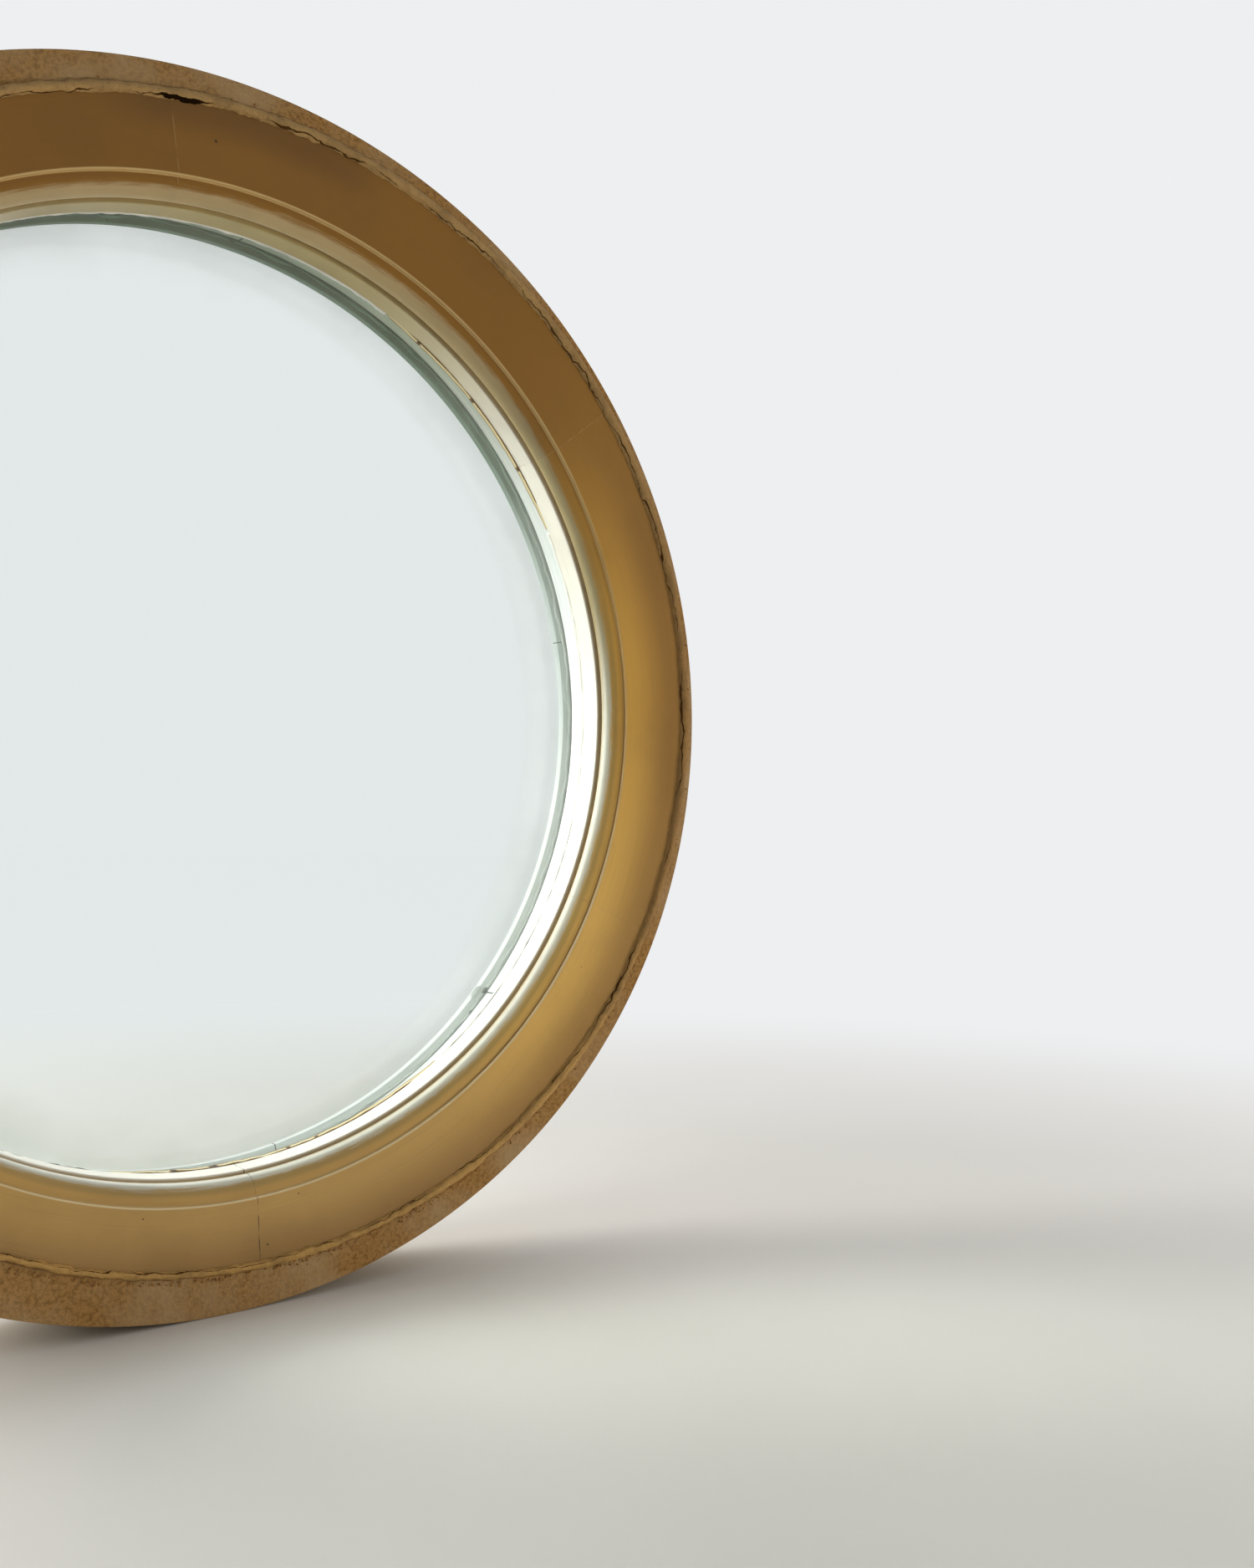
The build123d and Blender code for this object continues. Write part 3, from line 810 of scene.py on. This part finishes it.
# %% Dab of sealant
dab_half_sizes = (2.0 * mm, 1.0 * mm, 4.2 * mm)
dab_place = ring_point(-42.5, 237.6 * mm, 18.15 * mm)
dab_tilt = Matrix.Rotation(math.radians(41.7), 3, "Y")
lump_height = 0.35
lumps_per_radius = 1.7
bm = bmesh.new()
bmesh.ops.create_icosphere(bm, subdivisions=4, radius=1.0)
for vert in bm.verts:
    vert.co *= 1 + lump_height * noise.noise(vert.co * lumps_per_radius)
bmesh.ops.scale(bm, verts=bm.verts, vec=dab_half_sizes)
bmesh.ops.rotate(bm, verts=bm.verts, matrix=dab_tilt)
bmesh.ops.translate(bm, verts=bm.verts, vec=dab_place)
add_piece("sealant_dab", bm, [weather_sealant], "weather_sealant")

# %% [markdown]
# On the room side a thin bead of white acrylic sealant fills the joint between the stop and
# the pane. On the lower part dirt has drawn a broken dark line along its front edge.

# %% Sealant in the room-side joint
inner_pane_face = -6.8 * mm
pane_side = inner_pane_face - clearance
room_sealant = new_material("acrylic sealant, aged")
ring = ring_coordinates(room_sealant)
tooled = strokes(room_sealant, 20 * mm, 3 * mm)
sealant_colour = fade(room_sealant, "#f4f2ea", "#dbd9d0", (tooled, 0.4, 0.7))
sealant_colour = fade(
    room_sealant, sealant_colour, "#464a50",
    (ring.depth, -7.7 * mm, -8.0 * mm), (ring.height, -0.22, -0.32), (tooled, 0.34, 0.46),
)
surface(room_sealant, {"Base Color": sealant_colour, "Roughness": 0.4})
joint_floor = 240.0 * mm
room_corners = [
    (stop_tip_radius, stop_face, 0, 0),
    (joint_floor, stop_face, 0, 0),
    (joint_floor, pane_side, 0, 0),
    (stop_tip_radius, pane_side, 0, 0),
    (stop_tip_radius + 0.6 * mm, stop_face + 1.0 * mm, 0.4 * mm, 3),
]
for name, start, end in (("right", -55, 28), ("left", 66, 256)):
    bm = turn_section(room_corners, start, end - start, step_degrees=0.5)
    uneven(bm, height=0.5 * mm, wavelength=6 * mm, seed=7.0, grip_radius=238 * mm)
    add_piece(f"room_bead_{name}", bm, [room_sealant], "room_sealant", "room_sealant")

# %% [markdown]
# Over two stretches this sealant tore out of its joint and left only a thin skin between the
# edge of the stop and the glass. The skin has yellowed and both of its edges are brown; the
# brown at its front edge is also painted shade of the emptied joint. At a few places a dark
# scab sits on it. Each scab is given as its angle and its size.

# %% Finish of the torn sealant
torn_sealant = new_material("sealant, torn and browned")
ring = ring_coordinates(torn_sealant)
ragged = strokes(torn_sealant, 9 * mm, 5 * mm)
across = node(torn_sealant, "ShaderNodeMath", {
    0: ragged, 1: 0.8 * mm, 2: ring.depth,
}, operation="MULTIPLY_ADD")
# Brown edges; the front one is also painted shade of the emptied joint.
torn_colour = fade(torn_sealant, "#7f5f2e", "#cbbd92", (across, -8.55 * mm, -8.4 * mm))
torn_colour = fade(torn_sealant, torn_colour, "#7b5c2c", (across, -6.95 * mm, -6.8 * mm))
scabs = [(38.0, 2.0), (49.5, 2.2), (60.2, 1.8), (-79.0, 1.6), (-75.0, 1.4), (-89.0, 3.0), (-94.0, 2.4)]
for angle, size in scabs:
    spot = ring_point(angle, 235.0 * mm, -8.2 * mm)
    torn_colour = spotted(torn_sealant, torn_colour, "#59401d", spot, size * mm, size / 2 * mm)
relief = node(torn_sealant, "ShaderNodeMath", {0: ragged, 1: 0.3 * mm}, operation="MULTIPLY")
surface(torn_sealant, {"Base Color": torn_colour, "Roughness": 0.55}, relief)

# %% [markdown]
# The skin is swept from the corners of what is left and made uneven. Near the ends of each
# stretch its edge is drawn back outwards, so that it tapers out.

# %% Torn sealant
skin_root = 238.6 * mm
torn_corners = [
    (235.05 * mm, -9.5 * mm, 0.15 * mm, 2),
    (235.7 * mm, -9.4 * mm, 0, 0),
    (skin_root, stop_face, 0, 0),
    (skin_root, pane_side, 0, 0),
    (234.6 * mm, pane_side, 0, 0),
]
skin_grip = 237.5 * mm
taper_depth = 1.2 * mm
taper_degrees = 6
for name, start, end in (("right", 28.5, 65.5), ("bottom", 256.5, 304.5)):
    bm = turn_section(torn_corners, start, end - start, step_degrees=0.2)
    uneven(bm, height=0.5 * mm, wavelength=9 * mm, seed=11.0, grip_radius=skin_grip)
    for vert in bm.verts:
        radius = math.hypot(vert.co.x, vert.co.z)
        turned = math.degrees(math.atan2(vert.co.z, vert.co.x)) % 360
        from_end = min(turned - start, end - turned)
        if radius < skin_grip:
            outwards = Vector((vert.co.x, 0, vert.co.z)) / radius
            vert.co += outwards * taper_depth * max(0.0, 1 - from_end / taper_degrees)
    add_piece(f"torn_rags_{name}", bm, [torn_sealant], "room_sealant", "room_sealant")

# %% [markdown]
# A strip of filler was pressed on to the flat face and painted over. It has dried out, so its
# edges are ragged and it has cracked away from the face. The paint on it is gritty and worn
# through in patches. A crack wanders along its inner edge, comes and goes, and gapes at one
# place near the top. The finish draws it from an attribute that holds how far across the
# strip's width each point lies.

# %% Painted filler finish
filler_paint = new_material("painted filler, cracked")
ring = ring_coordinates(filler_paint)
grit = node(filler_paint, "ShaderNodeTexNoise", {
    "Vector": ring.place, "Scale": 1 / (1.6 * mm), "Detail": 4.0, "Roughness": 0.7,
})
worn = node(filler_paint, "ShaderNodeTexNoise", {
    "Vector": ring.place, "Scale": 1 / (14 * mm), "Detail": 5.0, "Roughness": 0.6,
})
filler_colour = fade(filler_paint, "#c79c57", "#a27b42", (ring.height, -0.9, -0.2))
filler_colour = fade(filler_paint, filler_colour, "#b8935a", (ring.height, 0.0, 0.9))
filler_colour = fade(filler_paint, filler_colour, "#7f6136", (worn, 0.4, 0.72), most=0.55)
filler_colour = fade(filler_paint, filler_colour, "#6d4f26", (grit, 0.52, 0.72), most=0.5)

# %% Crack in the filler
width_share = node(filler_paint, "ShaderNodeAttribute", attribute_name="width_share").outputs["Fac"]
wander = node(filler_paint, "ShaderNodeTexNoise", {
    "Vector": ring.place, "Scale": 1 / (16 * mm), "Detail": 3.0, "Roughness": 0.5,
})
crack_line = node(filler_paint, "ShaderNodeMapRange", {
    "Value": wander, "From Min": 0.3, "From Max": 0.7, "To Min": 0.0, "To Max": 0.30,
})
from_crack = node(filler_paint, "ShaderNodeMath", {0: width_share, 1: crack_line}, operation="SUBTRACT")
from_crack = node(filler_paint, "ShaderNodeMath", {0: from_crack}, operation="ABSOLUTE")
crack_runs = node(filler_paint, "ShaderNodeTexNoise", {
    "Vector": ring.place, "Scale": 1 / (24 * mm), "Detail": 3.0,
})
half_width = node(filler_paint, "ShaderNodeMapRange", {
    "Value": crack_runs, "From Min": 0.30, "From Max": 0.60, "To Min": 0.0, "To Max": 0.055,
})
gap_place = ring_point(97, 282 * mm, room_face)
from_gap = node(filler_paint, "ShaderNodeVectorMath", {
    0: ring.place, 1: gap_place,
}, operation="DISTANCE")
half_width = node(filler_paint, "ShaderNodeMath", {
    0: zone(filler_paint, (from_gap, 17 * mm, 6 * mm), most=0.12), 1: half_width,
}, operation="ADD")
inside = node(filler_paint, "ShaderNodeMath", {0: half_width, 1: from_crack}, operation="SUBTRACT")
open_crack = zone(filler_paint, (inside, 0.0, 0.03))
# The crack is painted dark as the shade inside it, near black where it gapes near the top.
crack_shade = fade(filler_paint, "#55391a", "#22160a", (from_gap, 16 * mm, 8 * mm))
filler_colour = node(filler_paint, "ShaderNodeMix", {
    0: open_crack, 6: filler_colour, 7: crack_shade,
}, data_type="RGBA")

# %% Relief and surface of the filler
relief = node(filler_paint, "ShaderNodeMath", {0: grit, 1: 0.6 * mm}, operation="MULTIPLY")
relief = node(filler_paint, "ShaderNodeMath", {
    0: open_crack, 1: -0.3 * mm, 2: relief,
}, operation="MULTIPLY_ADD")
shine = node(filler_paint, "ShaderNodeMapRange", {"Value": open_crack, "To Min": 0.5, "To Max": 0.0})
surface(filler_paint, {
    "Base Color": filler_colour, "Roughness": 0.65, "Specular IOR Level": shine,
}, relief)

# %% [markdown]
# The filler starts as a low swept strip, given as shares of its width and heights over the
# flat face in millimetres. It is then roughened at three sizes: slow waves in its width, lumps
# of a few millimetres, and a ragged edge.

# %% Sweep the filler
filler_inner = 280.6 * mm
filler_width = 5.0 * mm
filler_heights = [
    (0, 0), (0.07, 0.2), (0.10, 1.0), (0.2, 1.8), (0.38, 2.2), (0.58, 2.1), (0.8, 1.5), (1, 0),
]
filler_corners = [
    (filler_inner + share * filler_width, room_face - rise * mm, 0, 0)
    for share, rise in filler_heights
]
bm = turn_section(filler_corners, 0, 360, step_degrees=0.2)
share_layer = bm.verts.layers.float.new("width_share")

# %% Roughen the filler
widest_side = ring_point(35, 1, 0)
highest = 2.45 * mm
waves_per_radius = 9
rags_per_radius = 70
for vert in bm.verts:
    radius = math.hypot(vert.co.x, vert.co.z)
    outwards = Vector((vert.co.x, 0, vert.co.z)) / radius
    share = (radius - filler_inner) / filler_width
    vert[share_layer] = share
    width = filler_width * (1.05 + 0.4 * outwards.dot(widest_side))
    sway = 0.9 * mm * noise.noise(outwards * waves_per_radius + Vector((share * 0.6, 5, 0)))
    rag = 0.8 * mm * rough(outwards * rags_per_radius + Vector((0, 3 * share, 0)), octaves=4)
    lump = 0.18 * rough(vert.co / (3 * mm), octaves=4)
    rise = max(0.0, room_face - vert.co.y)
    vert.co = outwards * (filler_inner + share * width + sway + rag) + filler_centre
    vert.co.y = room_face - min(rise * (1 + lump), highest)
add_piece("filler_strip", bm, [filler_paint], "painted_filler", "perimeter_filler")

# %% [markdown]
# Crumbs of plaster stick along the outer side of the filler, most of them at the bottom, where
# they have gathered. A crumb is a small icosphere, squashed and turned at random. The random
# numbers come from a fixed seed, so every run gives the same crumbs.

# %% Plaster crumbs
crumb_finish = plain_finish("lime plaster, ochre", "#b98a4a", "#7a5427", 1.2 * mm, 0.9, 0.3 * mm)
dice = random.Random(5)
bm = bmesh.new()
for number in range(900):
    angle = dice.gauss(-95, 55) if number % 3 else dice.uniform(-180, 180)
    size = dice.uniform(0.25, 0.9) ** 1.5 * mm
    out = filler_inner + filler_width * 0.9 + abs(dice.gauss(0, 1.6)) * mm
    spot = ring_point(angle, out, 0) + filler_centre + Vector((0, room_face - 0.2 * size, 0))
    if math.hypot(spot.x, spot.z) < frame_radius - size:
        shape = Matrix.LocRotScale(
            spot,
            Euler((dice.uniform(0, 6), dice.uniform(0, 6), dice.uniform(0, 6))),
            Vector((size, size * dice.uniform(0.5, 0.9), size * dice.uniform(0.6, 1.3))),
        )
        bmesh.ops.create_icosphere(bm, subdivisions=1, radius=1.0, matrix=shape)
add_piece("plaster_crumbs", bm, [crumb_finish], "painted_filler")

# %% [markdown]
# The window stands upright on a pale floor. Far from the window the floor fades into the pale
# sky, so that no horizon shows. The camera and whatever looks through glass see that sky
# bright, while all surfaces are lit by it at a lower level. That leaves the shaping to the
# lamps, and keeps a white haze off the gloss.

# %% What the camera and glass see
sky_colour = "#eeeff0"


def seen(tree_owner):
    """A share that is 1 for rays from the camera and through glass."""
    rays = node(tree_owner, "ShaderNodeLightPath").outputs
    return node(tree_owner, "ShaderNodeMath", {
        0: rays["Is Camera Ray"], 1: rays["Is Transmission Ray"],
    }, operation="MAXIMUM")


# %% Floor finish
floor_paint = new_material("pale studio floor")
place = node(floor_paint, "ShaderNodeTexCoord").outputs["Object"]
grain = node(floor_paint, "ShaderNodeTexNoise", {"Vector": place, "Scale": 6.0, "Detail": 4.0})
floor_colour = node(floor_paint, "ShaderNodeMix", {
    0: grain, 6: "#e6e4df", 7: "#e0ded8",
}, data_type="RGBA")
matt = node(floor_paint, "ShaderNodeBsdfPrincipled", {"Base Color": floor_colour, "Roughness": 0.85})
distance = node(floor_paint, "ShaderNodeVectorMath", {0: place}, operation="LENGTH")
shader = node(floor_paint, "ShaderNodeMixShader", {
    0: zone(floor_paint, (distance, 0.5, 1.4), most=seen(floor_paint)), 1: matt,
    2: node(floor_paint, "ShaderNodeEmission", {"Color": sky_colour}),
})
node(floor_paint, "ShaderNodeOutputMaterial", {"Surface": shader})

# %% Floor
bm = bmesh.new()
bmesh.ops.create_grid(bm, x_segments=1, y_segments=1, size=40.0)
bmesh.ops.translate(bm, verts=bm.verts, vec=(0, 0, cad_box[0][2]))
floor_mesh = bpy.data.meshes.new("floor")
bm.to_mesh(floor_mesh)
bm.free()
floor_mesh.materials.append(floor_paint)
floor = bpy.data.objects.new("floor", floor_mesh)
bpy.context.collection.objects.link(floor)
print("floor at", cad_box[0][2], "m")

# %% Sky
sky = bpy.data.worlds.new("pale studio")
bpy.context.scene.world = sky
sky.use_nodes = True
sky.node_tree.nodes.clear()
level = node(sky, "ShaderNodeMapRange", {"Value": seen(sky), "To Min": 0.42, "To Max": 1.0})
background = node(sky, "ShaderNodeBackground", {"Color": sky_colour, "Strength": level})
node(sky, "ShaderNodeOutputWorld", {"Surface": background})

# %% [markdown]
# Daylight comes from outdoors, from the upper left, and lights the band on the right and at
# the bottom. A second outdoor lamp stands for the bright sky that gloss paint mirrors at the
# foot of the ring. On the room side one lamp at the lower right gives a softer light, and it
# makes no glints, because the light in a room is broad and dull. All three are hidden from the
# camera and from what glass lets through, so that only their light shows.

# %% Lamps
def add_lamp(name, place, size, watts, tint, glints=True):
    """A square lamp that faces the middle of the window; without glints it lights matt only."""
    lamp = bpy.data.lights.new(name, "AREA")
    lamp.size = size
    lamp.energy = watts
    lamp.color = colour(tint)[:3]
    holder = bpy.data.objects.new(name, lamp)
    bpy.context.collection.objects.link(holder)
    facing = (-Vector(place)).to_track_quat("-Z", "Y").to_matrix().to_4x4()
    holder.matrix_world = Matrix.Translation(place) @ facing
    holder.visible_camera = False
    holder.visible_transmission = False
    holder.visible_glossy = glints
    print("lamp", name, watts, "W")


add_lamp("daylight", (-1.5, 1.8, 0.9), size=1.3, watts=62, tint="#fffbf5")
add_lamp("sky", (1.0, 2.2, 1.5), size=1.6, watts=26, tint="#f4f8ff")
add_lamp("room", (1.5, -0.75, -0.1), size=0.36, watts=7.7, tint="#fff1de", glints=False)

# %% [markdown]
# The camera stands low, close and left of the window and looks to the right, so that the ring
# runs out of the frame on the left. Its turn is built from the direction it looks in and its
# small roll.

# %% Camera
camera_place = (-0.31715, -0.70783, -0.0741)
look_right = math.radians(40.02)
look_up = math.radians(2.34)
roll = math.radians(0.40)
forward = Vector((
    math.sin(look_right) * math.cos(look_up),
    math.cos(look_right) * math.cos(look_up),
    math.sin(look_up),
))
level_right = Vector((math.cos(look_right), -math.sin(look_right), 0))
level_up = level_right.cross(forward)
right = level_right * math.cos(roll) + level_up * math.sin(roll)
up = level_up * math.cos(roll) - level_right * math.sin(roll)
camera_data = bpy.data.cameras.new("camera")
camera_data.sensor_width = 36.0
camera_data.lens = 34.06
camera_data.clip_start = 0.01
camera = bpy.data.objects.new("camera", camera_data)
bpy.context.collection.objects.link(camera)
turn = Matrix((right, up, -forward)).transposed()
camera.matrix_world = Matrix.Translation(camera_place) @ turn.to_4x4()
bpy.context.scene.camera = camera
print("camera at", camera_place)
bpy.context.scene.view_settings.view_transform = "Standard"
